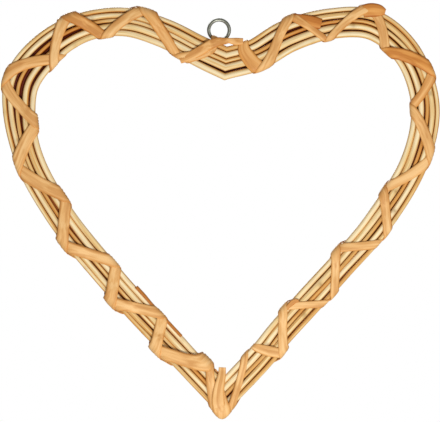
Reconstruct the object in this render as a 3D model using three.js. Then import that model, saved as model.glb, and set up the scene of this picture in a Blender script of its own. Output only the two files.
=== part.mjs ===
// A wicker heart to hang up: willow canes side by side in two rows, creased at the notch and meeting
// at the tip, bound with flat peel strips, with a small steel ring held under the binding.
// Millimetres. X points right, Z up and the front faces -Y. The origin is where a hook bears, at the
// inside top of the ring.
//
// A place on the bundle has three coordinates. "Along" is the distance on an arm's centre line from
// the notch (0) to the tip. "Out" is the distance from the centre line in the plane of the heart,
// positive away from its middle. "Back" is the distance behind the middle plane.

import * as THREE from "three";

// Size of the heart over its canes
const HEART_WIDTH = 300;
const HEART_HEIGHT = 279.5;

// Centre lines of the two arms, from the notch to the tip, as shares of the centre lines' own
// width and height: [from the left, from the bottom]
const NOTCH = [0.5078, 0.8894];
const TIP = [0.4987, 0];
const LEFT_ARM = [
  NOTCH,
  [0.4384, 0.9238],
  [0.3568, 0.9683],
  [0.2605, 1],
  [0.1606, 0.9866],
  [0.0719, 0.9328],
  [0.0073, 0.8465],
  [0, 0.7584],
  [0.027, 0.6259],
  [0.0944, 0.4952],
  [0.1975, 0.3495],
  [0.3443, 0.1745],
  TIP,
];
const RIGHT_ARM = [
  NOTCH,
  [0.5804, 0.9128],
  [0.6642, 0.9633],
  [0.7686, 0.9956],
  [0.8643, 0.9933],
  [0.9378, 0.9374],
  [0.9815, 0.8609],
  [1, 0.7585],
  [0.9678, 0.615],
  [0.8829, 0.4669],
  [0.7832, 0.3401],
  [0.628, 0.146],
  TIP,
];

// Cane diameters at the notch, from the outside of the heart inwards
const FRONT_CANES = [3.2, 4.0, 2.8, 4.6, 4.4];
const BACK_CANES = [3.6, 2.8, 3.4, 3.8];
const CANE_CLEARANCE = 0.3;
const TIP_CLEARANCE = 0.4;

// The canes thin out along the arms and stand apart here and there. Each row holds for the station
// of the same number: a share of the diameter, and the open gaps of the front row, outermost first.
const LOBE_TOP = 0.2;
const LOBE_SIDE = 0.36;
const STATIONS = [0, 0.11, LOBE_TOP, LOBE_SIDE, 0.5, 0.8, 1];
const TAPER = [1, 0.95, 0.93, 0.9, 0.88, 0.87, 0.86];
const LEFT_GAPS = [
  [0.1, 0.1, 0.1, 1.1],
  [0.1, 0.1, 0.1, 0.1],
  [0.1, 0.1, 0.3, 0.1],
  [0.8, 1.5, 2.6, 1.2],
  [0.1, 0.3, 0.9, 0.2],
  [0.1, 0.7, 0.1, 0.1],
  [0.1, 0.2, 0.1, 0.1],
];
const RIGHT_GAPS = [
  [0.1, 0.1, 0.1, 1.1],
  [0.6, 0.8, 0.6, 1.0],
  [0.3, 0.6, 0.3, 0.6],
  [0.2, 0.1, 0.7, 0.2],
  [0.1, 0.1, 0.6, 0.1],
  [0.8, 0.1, 0.1, 0.1],
  [0.1, 0.2, 0.1, 0.1],
];

// Binding strips
const STRIP_WIDTH = 7.5;
const STRIP_THICKNESS = 0.7;
const STRIP_CLEARANCE = 0.8;
// Where the strips cross, at the outer and inner edges by turns, as shares of the arm's length. On
// the left arm the first crossing is the ring's own place.
const LEFT_CROSSINGS = [
  0.074, 0.15, 0.211, 0.259, 0.325, 0.382, 0.451, 0.511, 0.589, 0.65, 0.725, 0.767, 0.838, 0.871,
  0.962, 0.988,
];
const RIGHT_START = 0.03;
const RIGHT_CROSSINGS = [
  0.054, 0.126, 0.172, 0.241, 0.296, 0.366, 0.416, 0.493, 0.572, 0.637, 0.697, 0.767, 0.824, 0.883,
  0.915, 0.986,
];
// The strip over the tip starts this far up the left arm's inner edge, and covers this length of it.
const TIP_STRIP_START = 12;
const TIP_STRIP_REACH = 10;
const TIP_BEND = 0.8; // the largest share of half the reach at which it bends over to the right arm
// A left-over end of strip lies along the inside of the left arm, under the binding.
const TAIL_START = 0.776;
const TAIL_END = 0.884;
const TAIL_WIDTH = 4.6;

// Hanging ring, and how far along the left arm it sits from the crease
const RING_OUTSIDE = 16.5;
const RING_WIRE = 2.4;
const RING_CLEARANCE = 0.4;
const RING_SEAT = 13.7;
const GATHERED_WIDTH = 4.2; // of the strip where it passes through the ring

// Smoothness of the solids
const MITRE_REACH = 45; // how far from a crease the canes' ends slide to meet in one plane
const CANE_SIDES = 6;
const LOBE_SHARE = 0.48; // the curved part of an arm
const LOBE_STEPS = 18;
const SIDE_STEPS = 6;
const WRAP_SIDES = 12;
const RING_STEPS = 20;
const RING_SIDES = 8;
const TAIL_STEPS = 5;

const CANE = new THREE.MeshStandardMaterial({ color: 0xe3c68f, roughness: 0.6, metalness: 0 });
const PEEL = new THREE.MeshStandardMaterial({ color: 0xdba569, roughness: 0.55, metalness: 0 });
const STEEL = new THREE.MeshStandardMaterial({ color: 0x8d918b, roughness: 0.35, metalness: 1 });

// Value of a row of station values at a share of the arm's length.
function atStation(values, share) {
  const last = STATIONS.length - 1;
  const at = STATIONS.findIndex((s, i) => i < last && share < STATIONS[i + 1]);
  const i = at < 0 ? last - 1 : at;
  const f = THREE.MathUtils.smoothstep(share, STATIONS[i], STATIONS[i + 1]);
  return values[i] + (values[i + 1] - values[i]) * f;
}

// Circles of the canes in the cross-section of an arm: the front row, then the back row.
function caneCircles(gapRows, share) {
  const taper = atStation(TAPER, share);
  const gaps = gapRows[0].map((g, k) => CANE_CLEARANCE + atStation(gapRows.map((r) => r[k]), share));
  const sum = (list) => list.reduce((a, b) => a + b, 0);
  const sizes = FRONT_CANES.map((d) => d * taper);
  const width = sum(sizes) + sum(gaps);
  const front = sizes.map((d, i) => ({
    out: width / 2 - sum(sizes.slice(0, i)) - sum(gaps.slice(0, i)) - d / 2,
    radius: d / 2,
  }));
  // Each cane of the back row lies behind a gap of the front row, clear of the one before it.
  const back = [];
  BACK_CANES.forEach((d, i) => {
    const [a, b] = [front[i], front[i + 1]];
    const gapMiddle = (a.out - a.radius + b.out + b.radius) / 2;
    const radius = (d * taper) / 2;
    const free = i ? back[i - 1].out - back[i - 1].radius - CANE_CLEARANCE - radius : gapMiddle;
    back.push({ out: Math.min(gapMiddle, free), radius });
  });
  // The rows lie as close as their nearest pair of canes lets them.
  const depth = front.reduce((deepest, f) => {
    const needed = back.map((b) => {
      const reach = f.radius + b.radius + CANE_CLEARANCE;
      return Math.sqrt(Math.max(0, reach ** 2 - (f.out - b.out) ** 2));
    });
    return Math.max(deepest, ...needed);
  }, 0);
  return [
    ...front.map((c) => ({ ...c, back: -depth / 2 })),
    ...back.map((c) => ({ ...c, back: depth / 2 })),
  ];
}

// The centre lines, sized so that the canes reach the heart's width and height.
const rowWidth = (gapRows, share) => {
  const circles = caneCircles(gapRows, share).slice(0, FRONT_CANES.length);
  const last = circles.at(-1);
  return circles[0].out + circles[0].radius - last.out + last.radius;
};
const LINE_WIDTH = HEART_WIDTH - rowWidth(LEFT_GAPS, LOBE_SIDE) / 2 - rowWidth(RIGHT_GAPS, LOBE_SIDE) / 2;
const LINE_HEIGHT = HEART_HEIGHT - rowWidth(LEFT_GAPS, LOBE_TOP) / 2 - rowWidth(LEFT_GAPS, 1) * Math.SQRT1_2;

function makeArm(shape, gapRows, side) {
  const points = shape.map(([u, v]) => {
    return new THREE.Vector3((u - NOTCH[0]) * LINE_WIDTH, 0, (v - NOTCH[1]) * LINE_HEIGHT);
  });
  const curve = new THREE.CatmullRomCurve3(points);
  curve.arcLengthDivisions = 800;
  return { curve, gapRows, side, length: curve.getLength() };
}
const LEFT = makeArm(LEFT_ARM, LEFT_GAPS, -1);
const RIGHT = makeArm(RIGHT_ARM, RIGHT_GAPS, 1);

// Point, direction and outward normal of an arm's centre line.
function lineAt(arm, along) {
  const t = THREE.MathUtils.clamp(along / arm.length, 0, 1);
  const forward = arm.curve.getTangentAt(t);
  const outward = new THREE.Vector3(-forward.z, 0, forward.x).multiplyScalar(arm.side);
  return { point: arm.curve.getPointAt(t), forward, outward };
}

// At the notch and at the tip the two arms meet in one plane. The slide is how far a point moves
// forward, for each millimetre outwards, to lie in that plane.
function meetingSlides(leftAlong, rightAlong) {
  const left = lineAt(LEFT, leftAlong);
  const right = lineAt(RIGHT, rightAlong);
  const across = right.forward.clone().sub(left.forward).normalize();
  return [left, right].map((line) => -line.outward.dot(across) / line.forward.dot(across));
}
const [LEFT_NOTCH_SLIDE, RIGHT_NOTCH_SLIDE] = meetingSlides(0, 0);
const [LEFT_TIP_SLIDE, RIGHT_TIP_SLIDE] = meetingSlides(LEFT.length, RIGHT.length);
Object.assign(LEFT, { notchSlide: LEFT_NOTCH_SLIDE, tipSlide: LEFT_TIP_SLIDE });
Object.assign(RIGHT, { notchSlide: RIGHT_NOTCH_SLIDE, tipSlide: RIGHT_TIP_SLIDE });

const slide = (arm, along) =>
  arm.notchSlide * Math.max(0, 1 - along / MITRE_REACH) +
  arm.tipSlide * Math.max(0, 1 - (arm.length - along) / MITRE_REACH);

// The ring: its eye's top is the origin, and its lowest wire rests on the outermost canes.
const RING_RADIUS = (RING_OUTSIDE - RING_WIRE) / 2; // of the wire's centre line
const RING_CENTRE = new THREE.Vector3(0, 0, RING_WIRE / 2 - RING_RADIUS);
const SEAT_OUT = Math.max(
  ...caneCircles(LEFT_GAPS, 0).map((c) => {
    const reach = c.radius + RING_WIRE / 2 + RING_CLEARANCE;
    return c.out + Math.sqrt(Math.max(0, reach ** 2 - c.back ** 2));
  }),
);
const start = lineAt(LEFT, 0);
const NOTCH_POINT = RING_CENTRE.clone()
  .addScaledVector(start.forward, -RING_SEAT)
  .addScaledVector(start.outward, -(SEAT_OUT + RING_RADIUS));

// The place of (along, out, back) in space.
function place(arm, along, out, back) {
  const line = lineAt(arm, along);
  return line.point
    .add(NOTCH_POINT)
    .addScaledVector(line.outward, out)
    .addScaledVector(line.forward, out * slide(arm, along))
    .add(new THREE.Vector3(0, back, 0));
}

// Joins closed loops of points, one after another, into one closed body.
function loft(loops) {
  const sides = loops[0].length;
  const points = loops.flat();
  const index = [];
  for (let i = 0; i + 1 < loops.length; i++) {
    for (let k = 0; k < sides; k++) {
      const a = i * sides + k;
      const b = i * sides + ((k + 1) % sides);
      index.push(a, b, a + sides, b, b + sides, a + sides);
    }
  }
  // Each end is closed by rungs from one half of its loop to the other.
  const last = (loops.length - 1) * sides;
  for (let k = 0; k + 1 < sides / 2; k++) {
    const [a, b, c, d] = [k, k + 1, sides - 2 - k, sides - 1 - k];
    index.push(a, c, b, a, d, c);
    index.push(last + a, last + b, last + c, last + a, last + c, last + d);
  }
  const volume = index.reduce((sum, _, i) => {
    if (i % 3) return sum;
    const [a, b, c] = [0, 1, 2].map((k) => points[index[i + k]]);
    return sum + a.dot(b.clone().cross(c));
  }, 0);
  if (volume < 0) index.reverse();
  const geometry = new THREE.BufferGeometry();
  geometry.setAttribute("position", new THREE.Float32BufferAttribute(points.flatMap((p) => [p.x, p.y, p.z]), 3));
  geometry.setIndex(index);
  geometry.computeVertexNormals();
  return geometry;
}

// Stations of the canes along an arm, closer together in the lobe.
function caneStations(arm) {
  const bend = LOBE_SHARE * arm.length;
  const end = arm.length - TIP_CLEARANCE / 2 / Math.SQRT1_2;
  const lobe = Array.from({ length: LOBE_STEPS }, (_, i) => (bend * i) / LOBE_STEPS);
  const side = Array.from({ length: SIDE_STEPS + 1 }, (_, i) => bend + ((end - bend) * i) / SIDE_STEPS);
  return [...lobe, ...side];
}

// One cane runs from the tip up the left arm, over the crease and down the right arm to the tip.
function caneGeometry(number) {
  const ring = (arm, along) => {
    const circle = caneCircles(arm.gapRows, along / arm.length)[number];
    return Array.from({ length: CANE_SIDES }, (_, k) => {
      const turn = (2 * Math.PI * k) / CANE_SIDES;
      const out = circle.out + circle.radius * Math.cos(turn);
      return place(arm, along, out, circle.back + circle.radius * Math.sin(turn));
    });
  };
  const left = caneStations(LEFT).reverse().map((along) => ring(LEFT, along));
  const right = caneStations(RIGHT).slice(1).map((along) => ring(RIGHT, along));
  return loft([...left, ...right]);
}

// The tight outline round the canes, and round the ring's wire where the binding holds it, as a
// polygon of WRAP_SIDES edges. Edge 0 faces outwards, and the numbers grow round the back.
function wrapAt(arm, along, lift) {
  const circles = caneCircles(arm.gapRows, along / arm.length);
  if (arm === LEFT) {
    const away = Math.abs(along + SEAT_OUT * slide(arm, along) - RING_SEAT);
    if (away < RING_RADIUS) {
      const rise = RING_RADIUS - Math.sqrt(RING_RADIUS ** 2 - away ** 2);
      const drop = RING_WIRE * 2 * THREE.MathUtils.smoothstep(away, GATHERED_WIDTH, STRIP_WIDTH);
      circles.push({ out: SEAT_OUT + rise - drop, back: 0, radius: RING_WIRE / 2 });
    }
  }
  const turn = (k) => (2 * Math.PI * k) / WRAP_SIDES;
  const reach = (k) => {
    const far = circles.map((c) => c.out * Math.cos(turn(k)) + c.back * Math.sin(turn(k)) + c.radius);
    return Math.max(...far) + STRIP_CLEARANCE + lift;
  };
  return Array.from({ length: WRAP_SIDES }, (_, k) => {
    const [a, b] = [reach(k), reach(k + 1)];
    return {
      out: (a * Math.sin(turn(k + 1)) - b * Math.sin(turn(k))) / Math.sin(turn(1)),
      back: (b * Math.cos(turn(k)) - a * Math.cos(turn(k + 1))) / Math.sin(turn(1)),
    };
  });
}

const wrapIndex = (k) => ((k % WRAP_SIDES) + WRAP_SIDES) % WRAP_SIDES;

// Distances round the outline: before[k] is where edge k starts, counted from the start of edge 0.
function wrapLengths(arm, along) {
  const corners = wrapAt(arm, along, 0);
  const before = [0];
  corners.forEach((corner, k) => {
    const from = corners[wrapIndex(k - 1)];
    before.push(before[k] + Math.hypot(corner.out - from.out, corner.back - from.back));
  });
  return before;
}

// Edge number, with its fraction, to distance round the outline from the middle of edge 0, and back.
function roundFromEdge(lengths, edge) {
  const k = Math.round(edge);
  const i = wrapIndex(k);
  const turns = Math.floor(k / WRAP_SIDES);
  const part = (edge - k + 0.5) * (lengths[i + 1] - lengths[i]);
  return turns * lengths[WRAP_SIDES] + lengths[i] + part - lengths[1] / 2;
}
function edgeFromRound(lengths, round) {
  const whole = lengths[WRAP_SIDES];
  const from = round + lengths[1] / 2;
  const turns = Math.floor(from / whole);
  const rest = from - turns * whole;
  const i = Math.max(0, lengths.findIndex((l, k) => k < WRAP_SIDES && rest < lengths[k + 1]));
  return turns * WRAP_SIDES + i - 0.5 + (rest - lengths[i]) / (lengths[i + 1] - lengths[i]);
}

function outlinePoint(arm, along, edge, lift) {
  const corners = wrapAt(arm, along, lift);
  const k = Math.round(edge);
  const from = corners[wrapIndex(k - 1)];
  const to = corners[wrapIndex(k)];
  const f = edge - k + 0.5;
  return { out: from.out + (to.out - from.out) * f, back: from.back + (to.back - from.back) * f };
}

// A flat strip laid on the outline. Each step gives its place (along and edge), how high it lies and
// how wide it is. The strip folds along lines that run with the canes, as it does over their edges.
function stripGeometry(arm, steps) {
  const loops = steps.map((step, i) => {
    const [a, b] = [Math.max(0, i - 1), Math.min(steps.length - 1, i + 1)];
    const ahead = steps[b].along - steps[a].along;
    const lengths = wrapLengths(arm, step.along);
    const around = roundFromEdge(lengths, steps[b].edge) - roundFromEdge(lengths, steps[a].edge);
    const reach = ((step.width / 2) * Math.hypot(ahead, around)) / around;
    const points = (lift) => [-reach, reach].map((shift) => {
      const along = step.along + shift;
      const p = outlinePoint(arm, along, step.edge, lift);
      return place(arm, along, p.out, p.back);
    });
    return [...points(step.lift), ...points(step.lift + STRIP_THICKNESS).reverse()];
  });
  return loft(loops);
}

// One strip binds an arm. Its middle crosses the outer edge near the notch, and its two ends wind
// down to the tip in opposite directions, so that they cross at every edge. The edges of half a turn
// are counted from the middle of the bundle's side, and the upper strip of a crossing stays up until
// it is RAISED edges away.
const HALF_TURN = WRAP_SIDES / 2;
const HALF_TURN_STEPS = [0.5, 1.5, 2.5, 2.8, 3.2, 3.5, 4.5, 5.5];
const RAISED = 2.9;
const STRAIGHT = 1.5; // edges that the middle of the strip crosses square to the canes
const LAYER = STRIP_THICKNESS + STRIP_CLEARANCE;

function bindingSteps(arm, crossings, isOver, extraLift) {
  const at = crossings.map((share) => share * arm.length);
  const last = crossings.length - 1;
  const step = (edge) => {
    const k = Math.min(last - 1, Math.floor(Math.abs(edge) / HALF_TURN));
    const lengths = wrapLengths(arm, (at[k] + at[k + 1]) / 2);
    const way = Math.sign(edge) || 1;
    const first = k ? k * HALF_TURN : STRAIGHT;
    const [from, to, here] = [way * first, way * (k + 1) * HALF_TURN, edge].map((e) =>
      roundFromEdge(lengths, e),
    );
    const along = at[k] + (at[k + 1] - at[k]) * Math.max(0, (here - from) / (to - from));
    const nearest = Math.round(Math.abs(edge) / HALF_TURN);
    const isNear = Math.abs(Math.abs(edge) - nearest * HALF_TURN) < RAISED;
    const isCrossing = nearest > 0 && nearest < last;
    const over = isCrossing && isOver(nearest, way) ? LAYER : 0;
    return { along, edge, lift: isNear ? over + extraLift(nearest) : 0, width: STRIP_WIDTH };
  };
  const edges = [];
  for (let k = 0; k < last; k++) {
    const ends = k === last - 1 ? HALF_TURN_STEPS.slice(0, -1) : HALF_TURN_STEPS;
    edges.push(...ends.map((e) => k * HALF_TURN + e));
  }
  const back = edges.map((e) => step(e)).reverse();
  const front = edges.map((e) => step(-e));
  return [...back, step(0), ...front];
}

// Where the ring's seat falls on the outer edge of the left arm
const SEAT_SLIDE = SEAT_OUT * LEFT.notchSlide;
const RING_SHARE = (RING_SEAT - SEAT_SLIDE) / (1 - SEAT_SLIDE / MITRE_REACH) / LEFT.length;

function leftBinding() {
  const crossings = [RING_SHARE, ...LEFT_CROSSINGS];
  const isInner = (crossing) => crossing % 2 === 1;
  const isOver = (crossing, way) => (isInner(crossing) ? way < 0 : way > 0);
  const overTail = (crossing) => {
    const isAlongTail = crossings[crossing] > TAIL_START && crossings[crossing] < TAIL_END;
    return isInner(crossing) && isAlongTail ? LAYER : 0;
  };
  const steps = bindingSteps(LEFT, crossings, isOver, overTail);
  // The strip is gathered where it passes through the ring.
  for (const step of steps) {
    const open = THREE.MathUtils.smoothstep(Math.abs(step.edge), HALF_TURN / 4, HALF_TURN / 2);
    step.width = GATHERED_WIDTH + (STRIP_WIDTH - GATHERED_WIDTH) * open;
  }
  return stripGeometry(LEFT, steps);
}

function rightBinding() {
  const steps = bindingSteps(RIGHT, [RIGHT_START, ...RIGHT_CROSSINGS], (crossing, way) => way > 0, () => 0);
  return stripGeometry(RIGHT, steps);
}

function tailGeometry() {
  const loops = Array.from({ length: TAIL_STEPS + 1 }, (_, i) => {
    const along = LEFT.length * (TAIL_START + ((TAIL_END - TAIL_START) * i) / TAIL_STEPS);
    const lengths = wrapLengths(LEFT, along);
    const middle = roundFromEdge(lengths, HALF_TURN);
    const points = (lift) => [-0.5, 0, 0.5].map((share) => {
      const edge = edgeFromRound(lengths, middle + share * TAIL_WIDTH);
      const p = outlinePoint(LEFT, along, edge, lift);
      return place(LEFT, along, p.out, p.back);
    });
    return [...points(0), ...points(STRIP_THICKNESS).reverse()];
  });
  return loft(loops);
}

// A last strip closes the tip, over the ends of the others: from the inner edge of the left arm down
// the front, under the tip and up the back.
function tipGeometry() {
  const edges = [-1, 0].flatMap((half) => HALF_TURN_STEPS.map((e) => half * HALF_TURN + e));
  const loops = edges.map((edge) => {
    const middle = (-TIP_STRIP_START * Math.abs(edge)) / HALF_TURN;
    const reach = TIP_STRIP_REACH / 2;
    // Near the inner edge it lies over the last crossing of the left arm's strip.
    const height = LAYER * (1 + THREE.MathUtils.smoothstep(Math.abs(edge), 0, HALF_TURN / 2));
    // A section that passes the plane where the arms meet bends there.
    const bend = THREE.MathUtils.clamp(0, middle - reach * TIP_BEND, middle + reach * TIP_BEND);
    const points = (lift) => [middle - reach, bend, middle + reach].map((ahead) => {
      const arm = ahead < 0 ? LEFT : RIGHT;
      const along = arm.length - Math.abs(ahead);
      const p = outlinePoint(arm, along, edge, lift);
      return place(arm, along, p.out, p.back);
    });
    return [...points(height), ...points(height + STRIP_THICKNESS).reverse()];
  });
  return loft(loops);
}

const heart = new THREE.Group();

function add(name, geometry, material) {
  const mesh = new THREE.Mesh(geometry, material);
  mesh.name = name;
  heart.add(mesh);
  return mesh;
}

FRONT_CANES.forEach((_, i) => add(`cane_front_${i + 1}`, caneGeometry(i), CANE));
BACK_CANES.forEach((_, i) => add(`cane_back_${i + 1}`, caneGeometry(FRONT_CANES.length + i), CANE));
add("binding_left", leftBinding(), PEEL);
add("binding_right", rightBinding(), PEEL);
add("binding_tip", tipGeometry(), PEEL);
add("binding_tail", tailGeometry(), PEEL);
const ringShape = new THREE.TorusGeometry(RING_RADIUS, RING_WIRE / 2, RING_SIDES, RING_STEPS);
const ring = add("hanging_ring", ringShape, STEEL);
ring.position.copy(RING_CENTRE);
ring.rotation.x = Math.PI / 2;

export default heart;
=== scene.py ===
"""The looks of the wicker heart: round willow canes, bent peel strips and a steel ring on the CAD frame.

Lengths are in millimetres until a mesh is made, and a place on the bundle has three coordinates.
"Along" is the distance on an arm's centre line from the notch to the tip. "Out" is the distance from
the centre line in the plane of the heart, positive away from its middle. "Back" is the distance
behind the middle plane. A place round the bundle is counted in half turns from its outer edge, with
the back between 0 and 1 and the front between 0 and -1.
"""

import math

import bpy
import numpy as np
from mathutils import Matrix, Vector


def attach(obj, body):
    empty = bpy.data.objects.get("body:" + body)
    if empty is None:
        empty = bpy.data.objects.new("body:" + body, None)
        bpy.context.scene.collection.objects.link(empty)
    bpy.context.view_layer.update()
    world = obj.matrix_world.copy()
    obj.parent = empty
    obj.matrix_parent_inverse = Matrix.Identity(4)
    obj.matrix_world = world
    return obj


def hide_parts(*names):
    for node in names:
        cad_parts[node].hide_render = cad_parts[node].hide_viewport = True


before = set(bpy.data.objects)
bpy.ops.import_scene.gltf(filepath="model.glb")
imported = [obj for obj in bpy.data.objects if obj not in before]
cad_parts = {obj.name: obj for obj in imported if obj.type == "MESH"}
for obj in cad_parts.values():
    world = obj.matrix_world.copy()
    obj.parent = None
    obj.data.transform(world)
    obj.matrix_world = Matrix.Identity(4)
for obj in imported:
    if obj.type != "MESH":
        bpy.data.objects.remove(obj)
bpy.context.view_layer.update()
MM = 0.001

# Size of the heart over its canes.
HEART_WIDTH = 300.0
HEART_HEIGHT = 279.5

# The centre lines of the arms, from the notch to the tip, as shares of their own width and height.
NOTCH = (0.5078, 0.8894)
TIP = (0.4987, 0.0)
LEFT_LINE = (
    NOTCH, (0.4384, 0.9238), (0.3568, 0.9683), (0.2605, 1.0), (0.1606, 0.9866), (0.0719, 0.9328),
    (0.0073, 0.8465), (0.0, 0.7584), (0.027, 0.6259), (0.0944, 0.4952), (0.1975, 0.3495),
    (0.3443, 0.1745), TIP,
)
RIGHT_LINE = (
    NOTCH, (0.5804, 0.9128), (0.6642, 0.9633), (0.7686, 0.9956), (0.8643, 0.9933), (0.9378, 0.9374),
    (0.9815, 0.8609), (1.0, 0.7585), (0.9678, 0.615), (0.8829, 0.4669), (0.7832, 0.3401),
    (0.646, 0.1766), (0.5969, 0.1098), TIP,
)
LINE_STEPS = 80  # from one of these points to the next

# Cane diameters at the notch, from the outside of the heart inwards.
FRONT_CANES = (3.2, 4.0, 2.8, 4.6, 4.4)
BACK_CANES = (3.6, 2.8, 3.4, 3.8)
CANE_CLEARANCE = 0.3
# Shares of an arm's length at which the taper of the canes and the gaps in the front row are given.
LOBE_TOP = 0.2
LOBE_SIDE = 0.36
STATIONS = (0.0, 0.11, LOBE_TOP, LOBE_SIDE, 0.5, 0.8, 1.0)
TAPER = (1.0, 0.95, 0.93, 0.9, 0.88, 0.87, 0.86)
LEFT_GAPS = (
    (0.1, 0.1, 0.1, 1.1), (0.1, 0.1, 0.1, 0.1), (0.1, 0.1, 0.3, 0.1), (0.8, 1.5, 2.6, 1.2),
    (0.1, 0.3, 0.9, 0.2), (0.1, 0.7, 0.1, 0.1), (0.1, 0.2, 0.1, 0.1),
)
RIGHT_GAPS = (
    (0.1, 0.1, 0.1, 1.1), (0.6, 0.8, 0.6, 1.0), (0.3, 0.6, 0.3, 0.6), (0.2, 0.1, 0.7, 0.2),
    (0.1, 0.1, 0.6, 0.1), (0.8, 0.1, 0.1, 0.1), (0.1, 0.2, 0.1, 0.1),
)
# Distance from the notch and from the tip over which the canes lean towards the joint there.
MITRE_REACH = 45.0

# Ring, and its seat on the left arm.
RING_OUTSIDE = 16.5
RING_WIRE = 2.4
RING_SEAT = 13.7
RING_CLEARANCE = 0.4

# Peel strips: where they cross, as shares of the arm's length.
STRIP_THICKNESS = 0.55
STRIP_REST = 0.12
LEFT_CROSSINGS = (
    0.074, 0.15, 0.211, 0.259, 0.325, 0.382, 0.451, 0.511, 0.589, 0.65, 0.725, 0.767, 0.838,
    0.871, 0.962, 0.988,
)
RIGHT_START = 0.03
RIGHT_CROSSINGS = (
    0.054, 0.126, 0.172, 0.241, 0.296, 0.366, 0.416, 0.493, 0.572, 0.637, 0.697, 0.767, 0.824,
    0.883, 0.915, 0.986,
)
# Width of each run of a strip, from one edge of the bundle to the other.
LEFT_WIDTHS = (6.5, 7.5, 6.9, 8.2, 6.6, 7.5, 7.5, 8.9, 8.9, 7.9, 7.5, 7.9, 7.5, 7.9, 8.2, 9.4)
RIGHT_WIDTHS = (8.8, 6.9, 4.5, 5.5, 6.4, 8.6, 5.8, 7.5, 6.9, 6.2, 5.8, 6.0, 4.8, 6.4, 7.2, 6.2)
# How far a strip stands off the canes at some crossings: {crossing: millimetres}.
LEFT_SLACK = {2: 1.3, 4: 1.3, 7: 0.6, 10: 1.5, 12: 2.2, 14: 2.3, 15: 2.2}
RIGHT_SLACK = {2: 1.0, 4: 0.8, 9: 0.4, 11: 0.6, 13: 0.6, 14: 0.7}
TIP_SLACK = 1.5
# Where the front's strips miss each other at a crossing: {crossing: (shift of the run that ends there,
# shift of the run that starts there)}, in millimetres towards the tip.
LEFT_SHIFTS = {5: (0.0, -10.0)}
RIGHT_SHIFTS = {10: (-4.0, 4.0), 12: (-4.0, 3.0), 15: (-3.0, 7.0)}
# Painted shade on some runs that face up, away from the light: {run: shade}.
LEFT_SHADES = {1: 0.12, 3: 0.16, 5: 0.08}
RIGHT_SHADES = {0: 0.16, 2: 0.1, 5: 0.32, 6: 0.12}

# The photograph: millimetres a pixel, and the pixel of the frame's origin.
PHOTO_SCALE = 0.685
PHOTO_ORIGIN = (219.0, 21.6)
PHOTO_SIZE = (440, 422)


def photo_point(x, y):
    """(x, z) in the frame of a pixel of the photograph, on the heart's middle plane."""
    return (x - PHOTO_ORIGIN[0]) * PHOTO_SCALE, (PHOTO_ORIGIN[1] - y) * PHOTO_SCALE


def smooth(x, low, high):
    """0 below low, 1 above high and a smooth step between."""
    t = np.clip((np.asarray(x, float) - low) / (high - low), 0, 1)
    return t * t * (3 - 2 * t)


def at_station(values, share):
    """The value at each share of the arm, eased between the stations."""
    share = np.clip(np.atleast_1d(np.asarray(share, float)), 0, 1)
    values = np.asarray(values, float)
    stations = np.asarray(STATIONS)
    i = np.clip(np.searchsorted(stations, share, side="right") - 1, 0, len(stations) - 2)
    t = smooth((share - stations[i]) / (stations[i + 1] - stations[i]), 0, 1)
    if values.ndim == 2:
        t = t[:, None]
    return values[i] + (values[i + 1] - values[i]) * t


def cane_circles(gap_rows, share):
    """(out, back, radius) of the canes, front row first, as arrays of stations by canes."""
    taper = at_station(TAPER, share)[:, None]
    front = np.asarray(FRONT_CANES) * taper
    back = np.asarray(BACK_CANES) * taper
    gaps = CANE_CLEARANCE + at_station(gap_rows, share)
    width = front.sum(1) + gaps.sum(1)
    before = np.cumsum(front, 1) - front / 2
    before[:, 1:] += np.cumsum(gaps, 1)
    front_out = width[:, None] / 2 - before
    # Each cane of the back row lies behind a gap of the front row, clear of the one before it.
    back_out = (front_out - front / 2)[:, :-1] - gaps / 2
    for i in range(1, len(BACK_CANES)):
        free = back_out[:, i - 1] - back[:, i - 1] / 2 - CANE_CLEARANCE - back[:, i] / 2
        back_out[:, i] = np.minimum(back_out[:, i], free)
    reach = front[:, :, None] / 2 + back[:, None, :] / 2 + CANE_CLEARANCE
    apart = front_out[:, :, None] - back_out[:, None, :]
    depth = np.sqrt(np.maximum(0, reach**2 - apart**2)).max((1, 2))[:, None]
    out = np.concatenate([front_out, back_out], 1)
    behind = np.concatenate([-depth / 2 + 0 * front_out, depth / 2 + 0 * back_out], 1)
    return out, behind, np.concatenate([front, back], 1) / 2


def row_width(gap_rows, share):
    """Width of the front row at a share of the arm."""
    out, _, radius = cane_circles(gap_rows, [share])
    last = len(FRONT_CANES) - 1
    return float(out[0, 0] + radius[0, 0] - out[0, last] + radius[0, last])


def catmull_rom(points, steps):
    """Centripetal curve through the points."""
    points = np.asarray(points, float)
    curve = []
    for i in range(len(points) - 1):
        a = points[i - 1] if i else 2 * points[0] - points[1]
        b, c = points[i], points[i + 1]
        d = points[i + 2] if i + 2 < len(points) else 2 * points[-1] - points[-2]
        before, here, after = [np.linalg.norm(q - p) ** 0.5 for p, q in ((a, b), (b, c), (c, d))]
        start = ((b - a) / before - (c - a) / (before + here) + (c - b) / here) * here
        end = ((c - b) / here - (d - b) / (here + after) + (d - c) / after) * here
        for t in np.arange(steps) / steps:
            bend = (-3 * b + 3 * c - 2 * start - end) * t**2 + (2 * b - 2 * c + start + end) * t**3
            curve.append(b + start * t + bend)
    curve.append(points[-1])
    return np.array(curve)


HALF_ROWS = row_width(LEFT_GAPS, LOBE_SIDE) / 2 + row_width(RIGHT_GAPS, LOBE_SIDE) / 2
LINE_WIDTH = HEART_WIDTH - HALF_ROWS
TIP_DROP = row_width(LEFT_GAPS, 1) * math.sqrt(0.5)
LINE_HEIGHT = HEART_HEIGHT - row_width(LEFT_GAPS, LOBE_TOP) / 2 - TIP_DROP


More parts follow.
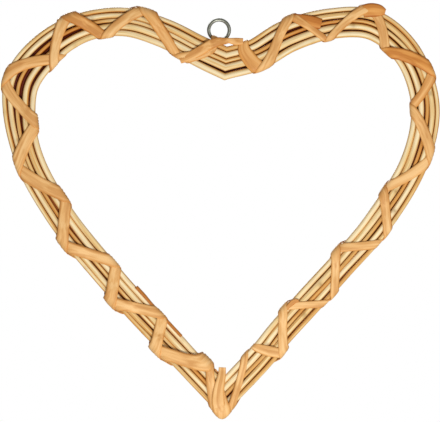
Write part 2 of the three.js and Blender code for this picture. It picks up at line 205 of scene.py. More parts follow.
class Arm:
    """One side of the heart: its centre line, its canes and the outline round them."""

    DIRECTIONS = 96
    STEP = 1.0

    def __init__(self, shape, gap_rows, side):
        self.side = side
        self.gap_rows = gap_rows
        size = np.array([LINE_WIDTH, LINE_HEIGHT])
        curve = catmull_rom((np.array(shape) - NOTCH) * size, LINE_STEPS)
        run = np.r_[0, np.cumsum(np.linalg.norm(np.diff(curve, axis=0), axis=1))]
        self.length = run[-1]
        self.grid = np.linspace(0, self.length, int(self.length / self.STEP) + 1)
        self.points = np.stack([np.interp(self.grid, run, curve[:, k]) for k in (0, 1)], 1)
        forward = np.gradient(self.points, axis=0)
        self.forward = forward / np.linalg.norm(forward, axis=1)[:, None]
        self.notch_slide = self.tip_slide = 0.0

    def line(self, along):
        """Point, direction and outward normal of the centre line, each as (x, z)."""
        along = np.clip(along, 0, self.length)
        point = np.stack([np.interp(along, self.grid, self.points[:, k]) for k in (0, 1)], -1)
        forward = np.stack([np.interp(along, self.grid, self.forward[:, k]) for k in (0, 1)], -1)
        outward = np.stack([-forward[..., 1], forward[..., 0]], -1) * self.side
        return point, forward, outward

    def slide(self, along):
        """How far forward a point lies for each millimetre outwards, near the arms' joints."""
        notch = self.notch_slide * np.maximum(0, 1 - along / MITRE_REACH)
        return notch + self.tip_slide * np.maximum(0, 1 - (self.length - along) / MITRE_REACH)

    def circles(self, along):
        return cane_circles(self.gap_rows, np.asarray(along) / self.length)

    def measure_outline(self):
        """Tables of the tight outline round the canes, from the outer edge round the back."""
        out, back, radius = self.circles(self.grid)
        turn = 2 * np.pi * np.arange(self.DIRECTIONS) / self.DIRECTIONS
        cos, sin = np.cos(turn), np.sin(turn)
        reach = out[:, None, :] * cos[None, :, None] + back[:, None, :] * sin[None, :, None]
        reach = reach + radius[:, None, :]
        far = reach.argmax(2)
        rows = np.arange(len(self.grid))[:, None]
        r = radius[rows, far]
        edge = np.stack([out[rows, far] + r * cos, back[rows, far] + r * sin], -1)
        self.closed_edge = np.concatenate([edge, edge[:, :1]], 1)
        steps = np.linalg.norm(np.diff(self.closed_edge, axis=1), axis=2)
        # Each half of the outline, round the back and round the front, is measured from 0 to 1.
        half = self.DIRECTIONS // 2
        self.halves = np.stack([steps[:, :half].sum(1), steps[:, half:].sum(1)], 1)
        run = np.concatenate([np.zeros((len(steps), 1)), np.cumsum(steps, 1)], 1)
        first = run[:, : half + 1] / self.halves[:, :1]
        second = 1 + (run[:, half + 1 :] - run[:, half : half + 1]) / self.halves[:, 1:]
        self.place_round = np.concatenate([first, second], 1)
        self.closed_turn = np.r_[turn, 2 * np.pi]
        self.reach = reach.max(2)
        self.turn = turn

    def half_length(self, along, round_):
        """Length of the half of the outline that holds a place round it."""
        return float(np.interp(along, self.grid, self.halves[:, math.floor(round_) % 2]))

    def outline(self, along, round_, lift):
        """(out, back) of a place round the outline, lifted off it."""
        row = np.clip(along, 0, self.length) / self.length * (len(self.grid) - 1)
        i = int(min(row, len(self.grid) - 2))
        t = row - i
        found = []
        for k in (i, i + 1):
            table = self.place_round[k]
            out = np.interp(round_ % 2, table, self.closed_edge[k, :, 0])
            back = np.interp(round_ % 2, table, self.closed_edge[k, :, 1])
            turn = np.interp(round_ % 2, table, self.closed_turn)
            found.append((out, back, turn))
        out, back, turn = [a * (1 - t) + b * t for a, b in zip(*found)]
        return out + lift * math.cos(turn), back + lift * math.sin(turn)

    def depth(self, along, out, back):
        """How deep a point lies inside the outline."""
        reach = np.stack([np.interp(along, self.grid, column) for column in self.reach.T], -1)
        inside = reach - out[:, None] * np.cos(self.turn) - back[:, None] * np.sin(self.turn)
        return inside.min(1)


LEFT = Arm(LEFT_LINE, LEFT_GAPS, -1)
RIGHT = Arm(RIGHT_LINE, RIGHT_GAPS, 1)


def meeting_slides(left_along, right_along):
    """How far forward a point moves, for each millimetre outwards, to lie where the arms meet."""
    lines = [LEFT.line(left_along), RIGHT.line(right_along)]
    across = lines[1][1] - lines[0][1]
    return [float(-(o @ across) / (f @ across)) for _, f, o in lines]


LEFT.notch_slide, RIGHT.notch_slide = meeting_slides(0.0, 0.0)
LEFT.tip_slide, RIGHT.tip_slide = meeting_slides(LEFT.length, RIGHT.length)
for arm in (LEFT, RIGHT):
    arm.measure_outline()

RING_RADIUS = (RING_OUTSIDE - RING_WIRE) / 2
RING_CENTRE = np.array([0.0, RING_WIRE / 2 - RING_RADIUS])


def seat_out():
    """Out of the ring's wire where it rests on the outermost canes."""
    out, back, radius = (row[0] for row in LEFT.circles([0.0]))
    reach = radius + RING_WIRE / 2 + RING_CLEARANCE
    return float((out + np.sqrt(np.maximum(0, reach**2 - back**2))).max())


SEAT_OUT = seat_out()
_, START_FORWARD, START_OUTWARD = LEFT.line(0.0)
NOTCH_POINT = RING_CENTRE - START_FORWARD * RING_SEAT - START_OUTWARD * (SEAT_OUT + RING_RADIUS)
SEAT_SLIDE = SEAT_OUT * LEFT.notch_slide
RING_SHARE = (RING_SEAT - SEAT_SLIDE) / (1 - SEAT_SLIDE / MITRE_REACH) / LEFT.length


def place(arm, along, out, back):
    """Points in space, for arrays of along, out and back."""
    along, out, back = np.broadcast_arrays(*[np.asarray(v, float) for v in (along, out, back)])
    point, forward, outward = arm.line(along)
    flat = NOTCH_POINT + point + outward * out[..., None]
    flat = flat + forward * (out * arm.slide(along))[..., None]
    return np.stack([flat[..., 0], back, flat[..., 1]], -1)


def faces_inwards(points, faces):
    """Whether the faces go round their body the wrong way, so that its volume is negative."""
    fans = [(face[0], face[j], face[j + 1]) for face in faces for j in range(1, len(face) - 1)]
    first, second, third = (points[list(corner)] for corner in zip(*fans))
    return np.einsum("ij,ij->i", first, np.cross(second, third)).sum() < 0


def loft(name, loops, attributes, material):
    """A closed body through loops of points, with one value of each attribute for each point."""
    loops = np.asarray(loops)
    count, sides = loops.shape[:2]
    i, k = np.meshgrid(np.arange(count - 1), np.arange(sides), indexing="ij")
    a = i * sides + k
    b = i * sides + (k + 1) % sides
    faces = np.stack([a, b, b + sides, a + sides], -1).reshape(-1, 4).tolist()
    last = (count - 1) * sides
    faces.append(list(range(sides))[::-1])
    faces.append([last + k for k in range(sides)])
    points = loops.reshape(-1, 3)
    mesh = bpy.data.meshes.new(name)
    mesh.from_pydata((points * MM).tolist(), [], faces)
    if faces_inwards(points, faces):
        mesh.flip_normals()
    for key, values in attributes.items():
        values = np.asarray(values, np.float32)
        kind = "FLOAT_VECTOR" if values.ndim == 3 else "FLOAT"
        layer = mesh.attributes.new(key, kind, "POINT")
        layer.data.foreach_set("vector" if values.ndim == 3 else "value", values.reshape(-1))
    mesh.polygons.foreach_set("use_smooth", [True] * len(mesh.polygons))
    mesh.materials.append(material)
    mesh.update()
    piece = bpy.data.objects.new(name, mesh)
    bpy.context.scene.collection.objects.link(piece)
    return piece


# Materials

CANE_COLOURS = ((0.92, 0.76, 0.47), (0.84, 0.62, 0.29), (0.72, 0.4, 0.12))
PEEL_COLOURS = ((0.88, 0.54, 0.23), (0.79, 0.44, 0.16), (0.65, 0.32, 0.1))
# Where the pale, the middle and the tan colour of a wood lie in its broad clouds.
WOOD_STOPS = (0.39, 0.5, 0.62)
STREAK_STOPS = ((0.38, (0.62, 0.5, 0.38)), (0.56, (1, 1, 1)))
KNOT_SHARE = 0.45  # how much of the tan colour a knot keeps
# What the wood's colour is multiplied by for its painted shade, from the open surface into the depth of
# the bundle.
PAINTED_SHADE_STOPS = (
    (0.0, (1, 1, 1)), (0.3, (0.89, 0.67, 0.39)), (0.65, (0.52, 0.2, 0.03)),
    (1.0, (0.17, 0.025, 0.002)),
)
STEEL_STOPS = ((0.3, (0.19, 0.19, 0.155)), (0.7, (0.33, 0.34, 0.28)))
BROAD_SCALE = 0.35
STEEL_SCALE = 400
BUMP_DISTANCE = 0.0002
WOOD_ROUGHNESS = 0.5
WOOD_SPECULAR = 0.2


def new_material(name):
    material = bpy.data.materials.new(name)
    material.use_nodes = True
    nodes = material.node_tree.nodes
    return material, nodes, material.node_tree.links, nodes["Principled BSDF"]


def attribute(nodes, name):
    node = nodes.new("ShaderNodeAttribute")
    node.attribute_name = name
    return node


def colour_ramp(nodes, stops):
    node = nodes.new("ShaderNodeValToRGB")
    ramp = node.color_ramp
    ramp.elements[0].position, ramp.elements[1].position = stops[0][0], stops[-1][0]
    for position, _ in stops[1:-1]:
        ramp.elements.new(position)
    for element, (_, colour) in zip(ramp.elements, stops):
        element.color = (*colour, 1)
    return node


def noise(nodes, links, vector, scale, detail):
    node = nodes.new("ShaderNodeTexNoise")
    node.inputs["Scale"].default_value = scale
    node.inputs["Detail"].default_value = detail
    links.new(vector, node.inputs["Vector"])
    return node


def mix(nodes, links, kind, factor, a, b):
    """Result socket of a colour mix of sockets, colours or numbers."""
    node = nodes.new("ShaderNodeMix")
    node.data_type = "RGBA"
    node.blend_type = kind
    inputs = ((factor, node.inputs["Factor"]), (a, node.inputs["A"]), (b, node.inputs["B"]))
    for value, socket in inputs:
        if isinstance(value, bpy.types.NodeSocket):
            links.new(value, socket)
        elif isinstance(value, tuple):
            socket.default_value = (*value, 1)
        else:
            socket.default_value = value
    return node.outputs["Result"]


def wood_material(name, colours, streak_scale, streak_share, bump):
    """Wood with streaks along its grain, painted with shade in the depth of the bundle, and darker at
    its knots.
    """
    material, nodes, links, shader = new_material(name)
    grain = attribute(nodes, "grain").outputs["Vector"]
    broad = noise(nodes, links, grain, BROAD_SCALE, 3)
    fine = noise(nodes, links, grain, streak_scale, 5)
    tint = attribute(nodes, "tint").outputs["Fac"]
    add = nodes.new("ShaderNodeMath")
    add.operation = "ADD"
    links.new(broad.outputs["Fac"], add.inputs[0])
    links.new(tint, add.inputs[1])
    base = colour_ramp(nodes, list(zip(WOOD_STOPS, colours)))
    links.new(add.outputs[0], base.inputs["Fac"])
    streaks = colour_ramp(nodes, STREAK_STOPS)
    links.new(fine.outputs["Fac"], streaks.inputs["Fac"])
    streaked = base.outputs["Color"], streaks.outputs["Color"]
    colour = mix(nodes, links, "MULTIPLY", streak_share, *streaked)
    knot = attribute(nodes, "knot").outputs["Fac"]
    colour = mix(nodes, links, "MIX", knot, colour, tuple(KNOT_SHARE * c for c in colours[-1]))
    # Painted shade: the shade attribute darkens the colour through this ramp.
    shade = attribute(nodes, "shade").outputs["Fac"]
    deep = colour_ramp(nodes, PAINTED_SHADE_STOPS)
    links.new(shade, deep.inputs["Fac"])
    colour = mix(nodes, links, "MULTIPLY", 1.0, colour, deep.outputs["Color"])
    links.new(colour, shader.inputs["Base Color"])
    height = nodes.new("ShaderNodeBump")
    height.inputs["Strength"].default_value = bump
    height.inputs["Distance"].default_value = BUMP_DISTANCE
    links.new(fine.outputs["Fac"], height.inputs["Height"])
    links.new(height.outputs["Normal"], shader.inputs["Normal"])
    shader.inputs["Roughness"].default_value = WOOD_ROUGHNESS
    shader.inputs["Specular IOR Level"].default_value = WOOD_SPECULAR
    return material


def steel_material():
    """Dull, slightly clouded steel."""
    material, nodes, links, shader = new_material("ring_steel")
    where = nodes.new("ShaderNodeTexCoord").outputs["Object"]
    cloud = noise(nodes, links, where, STEEL_SCALE, 3)
    ramp = colour_ramp(nodes, STEEL_STOPS)
    links.new(cloud.outputs["Fac"], ramp.inputs["Fac"])
    links.new(ramp.outputs["Color"], shader.inputs["Base Color"])
    shader.inputs["Metallic"].default_value = 0.8
    shader.inputs["Roughness"].default_value = 0.38
    return material


CANE = wood_material("willow_cane", CANE_COLOURS, streak_scale=1.6, streak_share=0.35, bump=0.5)
PEEL = wood_material("willow_peel", PEEL_COLOURS, streak_scale=1.0, streak_share=0.15, bump=0.25)
STEEL = steel_material()

ANY_PHASE = (0, 6.28)


# Canes

CANE_SIDES = 16
CANE_TURN = 2 * np.pi * np.arange(CANE_SIDES) / CANE_SIDES
CANE_STEP = 1.6
CANE_SEED = 40
# Distance along a cane, and from one cane to the next, in its grain.
CANE_GRAIN = 22
CANE_GRAIN_APART = 37.0
SWELL = 1.06  # round canes press against each other where the CAD leaves a clearance
# How far a cane wavers, and over which lengths outwards (two waves), backwards and in thickness.
WOBBLE = 0.38
WOBBLE_START = 30
WAVES = (17, 41, 23, 29)
THICKNESS_WOBBLE = 0.02
# Knots: distances between them, the first one's lead, their length and how much they swell.
KNOTS = 7
KNOT_GAPS = (55, 120)
KNOT_LEAD = 20
KNOT_LENGTH = 1.6
KNOT_SWELL = 0.06
KNOT_DARKNESS = 0.7
# The outer canes give way near the tip, under the strips, by a share of their distance out.
TIP_GIVE = 0.12
TIP_GIVE_REACH = 3.2
# Painted shade: depths inside the bundle between which the canes are painted darker, and how dark a
# cane's sides are painted.
SHADE_DEPTHS = (0.2, 3.0)
SIDE_SHADE = 0.36
# How much less painted shade the gaps get in the heart's straight lower half, and where that half
# starts.
LOWER_SHADE_CUT = 0.26
LOWER_START = (0.42, 0.6)
# How much browner each cane is, front row first.
CANE_TINTS = (0.05, -0.08, 0.07, -0.06, -0.1, 0.1, 0.15, 0.1, 0.12)


def cane_rings(arm, number, phases, knots):
    """Distances, loops, radii, painted shades and knots of a cane along an arm, from the notch to the
    tip.
    """
    along = np.linspace(0, arm.length, int(arm.length / CANE_STEP))
    out, back, radius = (row[:, number] for row in arm.circles(along))
    wobble = WOBBLE * smooth(along, 0, WOBBLE_START)
    waves = [np.sin(along / length + phase) for length, phase in zip(WAVES, phases)]
    out = out + wobble * waves[0] * waves[1]
    back = back + wobble * waves[2]
    bulge = sum(np.exp(-(((along - knot) / KNOT_LENGTH) ** 2)) for knot in knots)
    radius = radius * SWELL * (1 + THICKNESS_WOBBLE * waves[3] + KNOT_SWELL * bulge)
    near_tip = np.exp(-(((arm.length - along) / TIP_GIVE_REACH) ** 2))
    out = out - TIP_GIVE * np.maximum(out, 0) * near_tip
    ring_out = out[:, None] + radius[:, None] * np.cos(CANE_TURN)
    ring_back = back[:, None] + radius[:, None] * np.sin(CANE_TURN)
    loops = place(arm, along[:, None], ring_out, ring_back)
    # Painted shade: darker deeper inside the bundle and on the cane's sides, less of it in the lower
    # half.
    deep = arm.depth(np.repeat(along, CANE_SIDES), ring_out.ravel(), ring_back.ravel())
    painted_side_shade = SIDE_SHADE * smooth(np.abs(np.cos(CANE_TURN)), 0.4, 1)
    shade = np.maximum(smooth(deep.reshape(ring_out.shape), *SHADE_DEPTHS), painted_side_shade)
    shade *= 1 - LOWER_SHADE_CUT * smooth(along / arm.length, *LOWER_START)[:, None]
    # Every other cane shows the eye of a bud at its knots.
    eye = np.exp(-((CANE_TURN - phases[0] % 6) ** 2) / 0.5) if number % 2 else 0 * CANE_TURN
    knot = np.clip(bulge, 0, 1)[:, None] * (0.25 + 0.75 * eye[None, :])
    return along, loops, radius, shade, knot


def joined(left, right):
    """Rows of the left arm from the tip to the notch, then of the right arm from there to the tip."""
    return np.concatenate([left[::-1], right[1:]])


def make_cane(number, name):
    rng = np.random.default_rng(CANE_SEED + number)
    sides = []
    for arm in (LEFT, RIGHT):
        knots = np.cumsum(rng.uniform(*KNOT_GAPS, KNOTS)) - KNOT_LEAD
        sides.append(cane_rings(arm, number, rng.uniform(*ANY_PHASE, len(WAVES)), knots))
    (left_along, *left), (right_along, *right) = sides
    run = joined(-left_along, right_along)
    loops, radius, shade, knot = [joined(a, b) for a, b in zip(left, right)]
    offset = CANE_GRAIN_APART * number
    grain = np.stack(
        [
            radius[:, None] * np.cos(CANE_TURN) + offset,
            radius[:, None] * np.sin(CANE_TURN) + offset,
            np.repeat(run[:, None] / CANE_GRAIN, CANE_SIDES, 1),
        ],
        -1,
    )
    values = {
        "grain": grain,
        "shade": shade,
        "knot": KNOT_DARKNESS * knot,
        "tint": np.full(grain.shape[:2], CANE_TINTS[number]),
    }
    piece = loft(name + "_rod", loops, values, CANE)
    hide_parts(name)
    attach(piece, "root")


# Strips

STRIP_STEP = 1.0
STRIP_POINTS = 7
STRIP_BOW = 0.16
STRIP_EDGE = 0.55  # thickness at the edges, as a share
LAYER = STRIP_THICKNESS + 0.1
# Painted shade at a strip's two edges, standing in for its contact shadow.
EDGE_SHADE = 0.22
# Distance along a strip, and from one strip to the next, in its grain.
STRIP_GRAIN = 18
STRIP_GRAIN_APART = 91
WIDTH_WOBBLE = 0.03
WIDTH_WAVE = 31
EASE_ROWS = 9  # rows over which a strip's folds are rounded
STRIP_END = 0.02  # what is left off the last half turn
STRAIGHT_START = 0.25  # the middle of a strip runs straight across, for this much of a half turn
# Distances from a crossing over which a strip comes down: from over the other strip, and from its slack.
CROSSING_FLAT = 5.0
CROSSING_END = 11.0
CROSSING_SLACK = 2.5
SLACK_END = 18.0
TIP_RISE = (0.6, 0.1)  # half turns before its end between which a strip rises off the tip
RUN_FADE = (0.4, 0.6)  # half turns from the middle of a run over which its painted shade fades
# The left strip under the ring's wire: its gathered width, and the half turns from its middle over
# which it spreads again and comes down from the wire.
GATHERED_WIDTH = 5.6
GATHER_END = (0.25, 0.6)
WIRE_END = (0.16, 0.42)


def section(width, lift):
    """Offsets across the strip and their heights: the under side, then the upper side back."""
    across = np.linspace(-0.5, 0.5, STRIP_POINTS) * width
    under = lift + STRIP_BOW * (1 - (2 * across / width) ** 2)
    edge = np.ones(STRIP_POINTS)
    edge[[0, -1]] = STRIP_EDGE
    upper = under + STRIP_THICKNESS * edge
    return np.concatenate([across, across[::-1]]), np.concatenate([under, upper[::-1]])


def edge_shade():
    """Painted shade of the points of a section, darker at the strip's two edges."""
    across, _ = section(1, 0)
    return EDGE_SHADE * smooth(np.abs(2 * across), 0.6, 1)


def grain_row(across, heights, offset, distance):
    """Grain of the points of a section: across the strip, through it and along it."""
    return [(w + offset, height * 2, distance / STRIP_GRAIN) for w, height in zip(across, heights)]


def band(arm, path, seed):
    """Loops and grain of a strip along path: rows of (along, round, lift, width)."""
    path = np.asarray(path, float)
    phase = np.random.default_rng(seed).uniform(*ANY_PHASE)
    step_along = np.gradient(path[:, 0])
    halves = np.array([arm.half_length(a, r) for a, r in path[:, :2]])
    step_round = np.gradient(path[:, 1]) * halves
    run = np.hypot(step_along, step_round)
    distance = np.cumsum(run)
    loops = []
    grain = []
    for i, (along, round_, lift, width) in enumerate(path):
        width = width * (1 + WIDTH_WOBBLE * math.sin(distance[i] / WIDTH_WAVE + phase))
        across, heights = section(width, lift)
        side_along = -step_round[i] / run[i]
        side_round = step_along[i] / run[i] / halves[i]
        loop = []
        for w, height in zip(across, heights):
            a = along + w * side_along
            out, back = arm.outline(a, round_ + w * side_round, height)
            loop.append(place(arm, a, out, back))
        loops.append(loop)
        grain.append(grain_row(across, heights, STRIP_GRAIN_APART * seed, distance[i]))
    return np.array(loops), np.array(grain)


def strip_path(arm, crossings, is_over, slack, shifts, widths):
    """The whole strip of an arm, as rows of (along, round, lift, width).

    It starts at the tip end that is wound by way +1, runs over its middle near the notch, and ends
    at the tip end that is wound by way -1.
    """
    last = len(crossings) - 1
    run_middles = np.arange(last) + 0.5
    kernel = np.hanning(EASE_ROWS)
    halves = []
    for way in (1, -1):
        at = np.asarray(crossings) * arm.length
        for k, (ending, starting) in shifts.items():
            at[k] += ending if (way < 0) == bool(k % 2) else starting
        rounds = []
        for k in range(last):
            mean = arm.half_length((at[k] + at[k + 1]) / 2, way * (k + 0.5))
            count = max(8, int(math.hypot(mean, at[k + 1] - at[k]) / STRIP_STEP))
            rounds.extend(k + np.arange(count) / count)
        rounds = np.array(rounds + [last - STRIP_END])
        knots = np.r_[0, STRAIGHT_START, np.arange(1, last + 1)]
        along = np.interp(rounds, knots, np.r_[at[0], at])
        padded = np.pad(along, EASE_ROWS // 2, mode="edge")
        along = np.convolve(padded, kernel / kernel.sum(), mode="valid")
        lift = np.full(len(rounds), STRIP_REST)
        for k in range(1, last):
            half = arm.half_length(at[k], way * (k - 0.5))
            away = np.abs(rounds - k) * half
            lift += (1 - smooth(away, CROSSING_FLAT, CROSSING_END)) * LAYER * bool(is_over(k, way))
            lift += (1 - smooth(away, CROSSING_SLACK, SLACK_END)) * slack.get(k, 0)
        lift += TIP_SLACK * smooth(rounds, last - TIP_RISE[0], last - TIP_RISE[1])
        width = np.interp(rounds, run_middles, widths)
        halves.append(np.stack([along, way * rounds, lift, width], 1))
    return np.concatenate([halves[0][::-1], halves[1][1:]])


def run_shades(path, shades):
    """Painted shade of each row of a strip, from the painted shades of its runs."""
    run = np.abs(path[:, 1])
    return sum(shade * (1 - smooth(np.abs(run - k - 0.5), *RUN_FADE)) for k, shade in shades.items())


def peel_piece(name, loops, grain, shade, tint):
    """A piece of peel through loops; its painted shade is one number, or one for each loop."""
    flat = np.zeros(np.shape(grain)[:2])
    painted_shade = flat + np.reshape(shade, (-1, 1)) + edge_shade()
    values = {"grain": grain, "shade": painted_shade, "knot": flat, "tint": flat + tint}
    piece = loft(name, loops, values, PEEL)
    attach(piece, "root")
    return piece


def strip_piece(name, node, arm, path, seed, shade, tint):
    """The strip along path, in place of a CAD node."""
    loops, grain = band(arm, path, seed)
    piece = peel_piece(name, loops, grain, shade, tint)
    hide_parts(node)


def left_over(k, way):
    """Whether the left strip's run by this way lies over the other one at crossing k."""
    return way < 0 if k % 2 else way > 0


def right_over(k, way):
    """Whether the right strip's run by this way lies over the other one at crossing k."""
    return way > 0


def make_bindings():
    crossings = (RING_SHARE, *LEFT_CROSSINGS)
    left = strip_path(LEFT, crossings, left_over, LEFT_SLACK, LEFT_SHIFTS, LEFT_WIDTHS)
    # The strip is gathered under the ring's wire and stands over it.
    near = np.abs(left[:, 1])
    left[:, 3] = GATHERED_WIDTH + (left[:, 3] - GATHERED_WIDTH) * smooth(near, *GATHER_END)
    left[:, 2] += (RING_WIRE + RING_CLEARANCE) * (1 - smooth(near, *WIRE_END))
    strip_piece("left_peel", "binding_left", LEFT, left, 1, run_shades(left, LEFT_SHADES), 0.0)
    crossings = (RIGHT_START, *RIGHT_CROSSINGS)
    right = strip_path(RIGHT, crossings, right_over, RIGHT_SLACK, RIGHT_SHIFTS, RIGHT_WIDTHS)
    strip_piece("right_peel", "binding_right", RIGHT, right, 2, run_shades(right, RIGHT_SHADES), 0.0)


# The left-over end: where it starts and ends along the left arm, its rows, and how far it stands off,
# more before the rows over which it comes down.
TAIL_START = 0.776
TAIL_END = 0.884
TAIL_WIDTH = 4.6
TAIL_ROWS = 40
TAIL_REST = 0.1
TAIL_STAND = 0.5
TAIL_FALL = (6, 14)


def make_tail():
    along = np.linspace(TAIL_START, TAIL_END, TAIL_ROWS) * LEFT.length
    lift = TAIL_REST + TAIL_STAND * (1 - smooth(np.arange(TAIL_ROWS), *TAIL_FALL))
    path = np.stack([along, np.ones(TAIL_ROWS), lift, np.full(TAIL_ROWS, TAIL_WIDTH)], 1)
    # The tail is painted with shade, where it lies under the winding, and has a browner tint of its own.
    strip_piece("tail_peel", "binding_tail", LEFT, path, 3, 0.3, 0.15)


# The strip over the tip: how far it goes round, its width in the crotch and over the tip, how far up
# the left arm its middle lies in the crotch, how evenly it gets there, and how much and over which
# distance it rounds the corner at the tip.
TIP_ROUNDS = (-0.6, 0.98)
TIP_ROWS = 64
TIP_STRIP_WIDTHS = (9.5, 15.5)
TIP_STRIP_START = 5.0
TIP_STRIP_LEAN = 0.75
TIP_CORNER = 1.5
TIP_CORNER_REACH = 5
TIP_GRAIN_OFFSET = 300


def make_tip():
    """The strip over the tip, up the back; its front end is a flat piece of its own."""
    crotch_width, tip_width = TIP_STRIP_WIDTHS
    loops = []
    grain = []
    for i, round_ in enumerate(np.linspace(*TIP_ROUNDS, TIP_ROWS)):
        inner = abs(round_)
        outer = 1 - inner
        width = crotch_width + (tip_width - crotch_width) * outer**2
        lift = STRIP_REST + LAYER + TIP_SLACK * float(smooth(outer, 0.4, 0.9))
        across, heights = section(width, lift)
        lean = TIP_STRIP_START * inner * (TIP_STRIP_LEAN + (1 - TIP_STRIP_LEAN) * inner)
        loop = []
        for w, height in zip(across, heights):
            ahead = w - lean
            arm = LEFT if ahead < 0 else RIGHT
            along = arm.length - abs(ahead)
            corner = TIP_CORNER * outer**2 * max(0.0, 1 - abs(ahead) / TIP_CORNER_REACH) ** 2
            out, back = arm.outline(along, round_, height - corner)
            loop.append(place(arm, along, out, back))
        loops.append(loop)
        grain.append(grain_row(across, heights, TIP_GRAIN_OFFSET, i))
    piece = peel_piece("tip_peel", loops, grain, 0.0, 0.0)
    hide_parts("binding_tip")


# Flat lengths of strip that show on the front beside the regular turns. Each has a path of rows
# (x, y, width, lift), with x and y in pixels of the photograph, and a seed, a painted shade and a tint.
NOTCH_BAND = (
    (180, 60.5, 4.8, 0.7), (188, 57.5, 5.82, 0.8), (197, 53, 6.51, 0.9), (206, 47.6, 6.51, 1.8),
    (213, 44, 6.51, 3.2), (219, 42, 5.82, 3.6), (224, 41.6, 4.8, 3.2), (229, 41, 3.7, 2.4),
    (235, 41.7, 4.93, 1.2), (243, 42, 4.8, 0.3),
)
LOBE_FOLD = ((293, 17.5, 4.8, 0.1), (304, 20, 7.19, 0.2), (313, 22.5, 8.22, 0.2), (321, 24.5, 7.19, 0.2))
LOBE_CAP = ((363, 11.5, 8.9, 0.9), (371, 10.5, 9.59, 1.3), (379, 11, 8.22, 1.2), (385, 12.5, 4.11, 0.9))
EDGE_TURN = (
    (298.5, 300.5, 1.71, 0.9), (294.5, 301, 3.08, 1.1), (289, 305.5, 3.08, 1.0),
    (285, 310.5, 1.71, 0.7),
)
TIP_END = (
    (222.3, 367, 4.8, 1.9), (221.8, 375, 5.48, 1.9), (218.8, 389, 7.53, 1.9),
    (218.2, 402, 8.9, 2.1), (220.5, 411, 9.25, 1.4),
)
RIBBONS = (
    ("notch_band", NOTCH_BAND, 5, 0.1, 0.0),
    # The fold and the cap on the right lobe face up and get the most painted shade.
    ("lobe_fold", LOBE_FOLD, 6, 0.38, 0.1),
    ("lobe_cap", LOBE_CAP, 7, 0.28, 0.1),
    ("edge_turn", EDGE_TURN, 8, 0.15, 0.1),
    ("tip_end", TIP_END, 9, 0.0, -0.05),
)
RIBBON_STEPS = 14
RIBBON_PROBES = 5  # places across a ribbon where the bundle's front is measured
RIBBON_EASE = 7  # rows on each side over which the measured front is evened out


def on_front(x, z):
    """Back coordinate of the outline's front at a point of the heart's plane."""
    arm = LEFT if x < NOTCH_POINT[0] else RIGHT
    here = np.array([x, z])
    i = int(((arm.points + NOTCH_POINT - here) ** 2).sum(1).argmin())
    point, _, outward = arm.line(arm.grid[i])
    edge = arm.closed_edge[i, arm.DIRECTIONS // 2 :]
    return float(np.interp((here - NOTCH_POINT - point) @ outward, edge[:, 0], edge[:, 1]))


def front_ribbon(name, path, seed, shade, tint):
    """A flat length of strip on the front of the bundle."""
    x, y, width, lift = np.array(path, float).T
    x, z = photo_point(x, y)
    x, z, width, lift = catmull_rom(np.stack([x, z, width, lift], 1), RIBBON_STEPS).T
    step = np.stack([np.gradient(x), np.gradient(z)], 1)
    run = np.linalg.norm(step, axis=1)
    distance = np.cumsum(run)
    side = np.stack([-step[:, 1], step[:, 0]], 1) / run[:, None]
    front = []
    for i in range(len(x)):
        probes = np.linspace(-0.5, 0.5, RIBBON_PROBES) * width[i]
        front.append(min(on_front(x[i] + w * side[i, 0], z[i] + w * side[i, 1]) for w in probes))
    kernel = np.full(2 * RIBBON_EASE + 1, 1 / (2 * RIBBON_EASE + 1))
    front = np.convolve(np.pad(front, RIBBON_EASE, mode="edge"), kernel, mode="valid")
    loops = []
    grain = []
    for i in range(len(x)):
        across, heights = section(width[i], lift[i])
        flat_x, flat_z = x[i] + across * side[i, 0], z[i] + across * side[i, 1]
        loops.append(np.stack([flat_x, front[i] - heights, flat_z], 1))
        grain.append(grain_row(across, heights, STRIP_GRAIN_APART * seed, distance[i]))
    peel_piece(name, loops, grain, shade, tint)


def make_ring():
    """A round wire ring in the plane of the heart."""
    bpy.ops.mesh.primitive_torus_add(
        major_radius=RING_RADIUS * MM,
        minor_radius=RING_WIRE / 2 * MM,
        major_segments=96,
        minor_segments=20,
        location=(0, 0, RING_CENTRE[1] * MM),
        rotation=(math.pi / 2, 0, 0),
    )
    ring = bpy.context.object
    ring.name = "steel_ring"
    ring.data.materials.append(STEEL)
    ring.data.polygons.foreach_set("use_smooth", [True] * len(ring.data.polygons))
    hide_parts("hanging_ring")
    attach(ring, "root")


for index in range(len(FRONT_CANES)):
    make_cane(index, f"cane_front_{index + 1}")
for index in range(len(BACK_CANES)):
    make_cane(len(FRONT_CANES) + index, f"cane_back_{index + 1}")
make_bindings()
make_tail()
make_tip()
for ribbon in RIBBONS:
    front_ribbon(*ribbon)
make_ring()


# Floor, light and camera, all in metres

FLOOR_Z = -0.62
FLOOR_RADIUS = 0.35
FLOOR_COLOUR = (0.85, 0.85, 0.84, 1)
FLOOR_ROUGHNESS = 0.8
# Name, place, size and power of each area light; all point at the middle of the heart.
MIDDLE = (0, 0, -0.13)
LIGHTS = (
    ("key", (0.1, -1.25, -0.75), 0.45, 14.1),
    ("fill", (0.8, -1.2, 0.1), 0.8, 3.5),
    ("behind", (-0.3, 1.3, 0.6), 0.8, 16),
)
WORLD_LIGHT = 0.3
CAMERA_AWAY = 2.2
SENSOR = 36.0


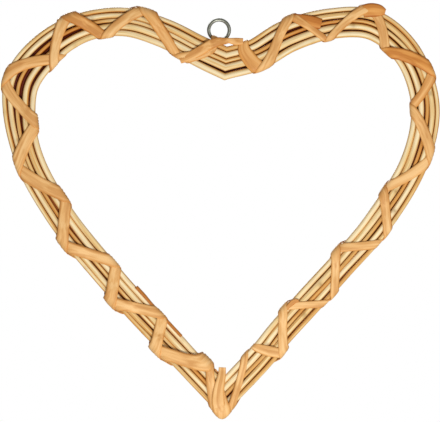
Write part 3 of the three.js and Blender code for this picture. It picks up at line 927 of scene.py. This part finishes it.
def make_floor():
    bpy.ops.mesh.primitive_circle_add(
        vertices=96, radius=FLOOR_RADIUS, fill_type="NGON", location=(0, 0, FLOOR_Z)
    )
    floor = bpy.context.object
    floor.name = "floor"
    material, _, _, shader = new_material("floor_white")
    shader.inputs["Base Color"].default_value = FLOOR_COLOUR
    shader.inputs["Roughness"].default_value = FLOOR_ROUGHNESS
    floor.data.materials.append(material)


def area_light(name, where, size, power):
    data = bpy.data.lights.new(name, "AREA")
    data.shape = "DISK"
    data.size = size
    data.energy = power
    light = bpy.data.objects.new(name, data)
    bpy.context.scene.collection.objects.link(light)
    light.location = where
    light.rotation_euler = (Vector(MIDDLE) - Vector(where)).to_track_quat("-Z", "Y").to_euler()


def make_world():
    """White for the camera, and softer as light."""
    world = bpy.data.worlds.new("studio")
    bpy.context.scene.world = world
    world.use_nodes = True
    nodes, links = world.node_tree.nodes, world.node_tree.links
    background = nodes["Background"]
    background.inputs["Color"].default_value = (1, 1, 1, 1)
    light_path = nodes.new("ShaderNodeLightPath")
    strength = nodes.new("ShaderNodeMapRange")
    strength.inputs["To Min"].default_value = WORLD_LIGHT
    strength.inputs["To Max"].default_value = 1.0
    links.new(light_path.outputs["Is Camera Ray"], strength.inputs["Value"])
    links.new(strength.outputs["Result"], background.inputs["Strength"])


def make_camera():
    """A camera that frames the heart as the photograph does."""
    middle_x, middle_z = photo_point(PHOTO_SIZE[0] / 2, PHOTO_SIZE[1] / 2)
    data = bpy.data.cameras.new("camera")
    camera = bpy.data.objects.new("camera", data)
    bpy.context.scene.collection.objects.link(camera)
    camera.location = (middle_x * MM, -CAMERA_AWAY, middle_z * MM)
    camera.rotation_euler = (math.pi / 2, 0, 0)
    data.sensor_fit = "HORIZONTAL"
    data.sensor_width = SENSOR
    data.lens = SENSOR * CAMERA_AWAY / (PHOTO_SIZE[0] * PHOTO_SCALE * MM)
    bpy.context.scene.camera = camera


make_floor()
make_world()
for light in LIGHTS:
    area_light(*light)
make_camera()
bpy.context.scene.view_settings.view_transform = "Standard"
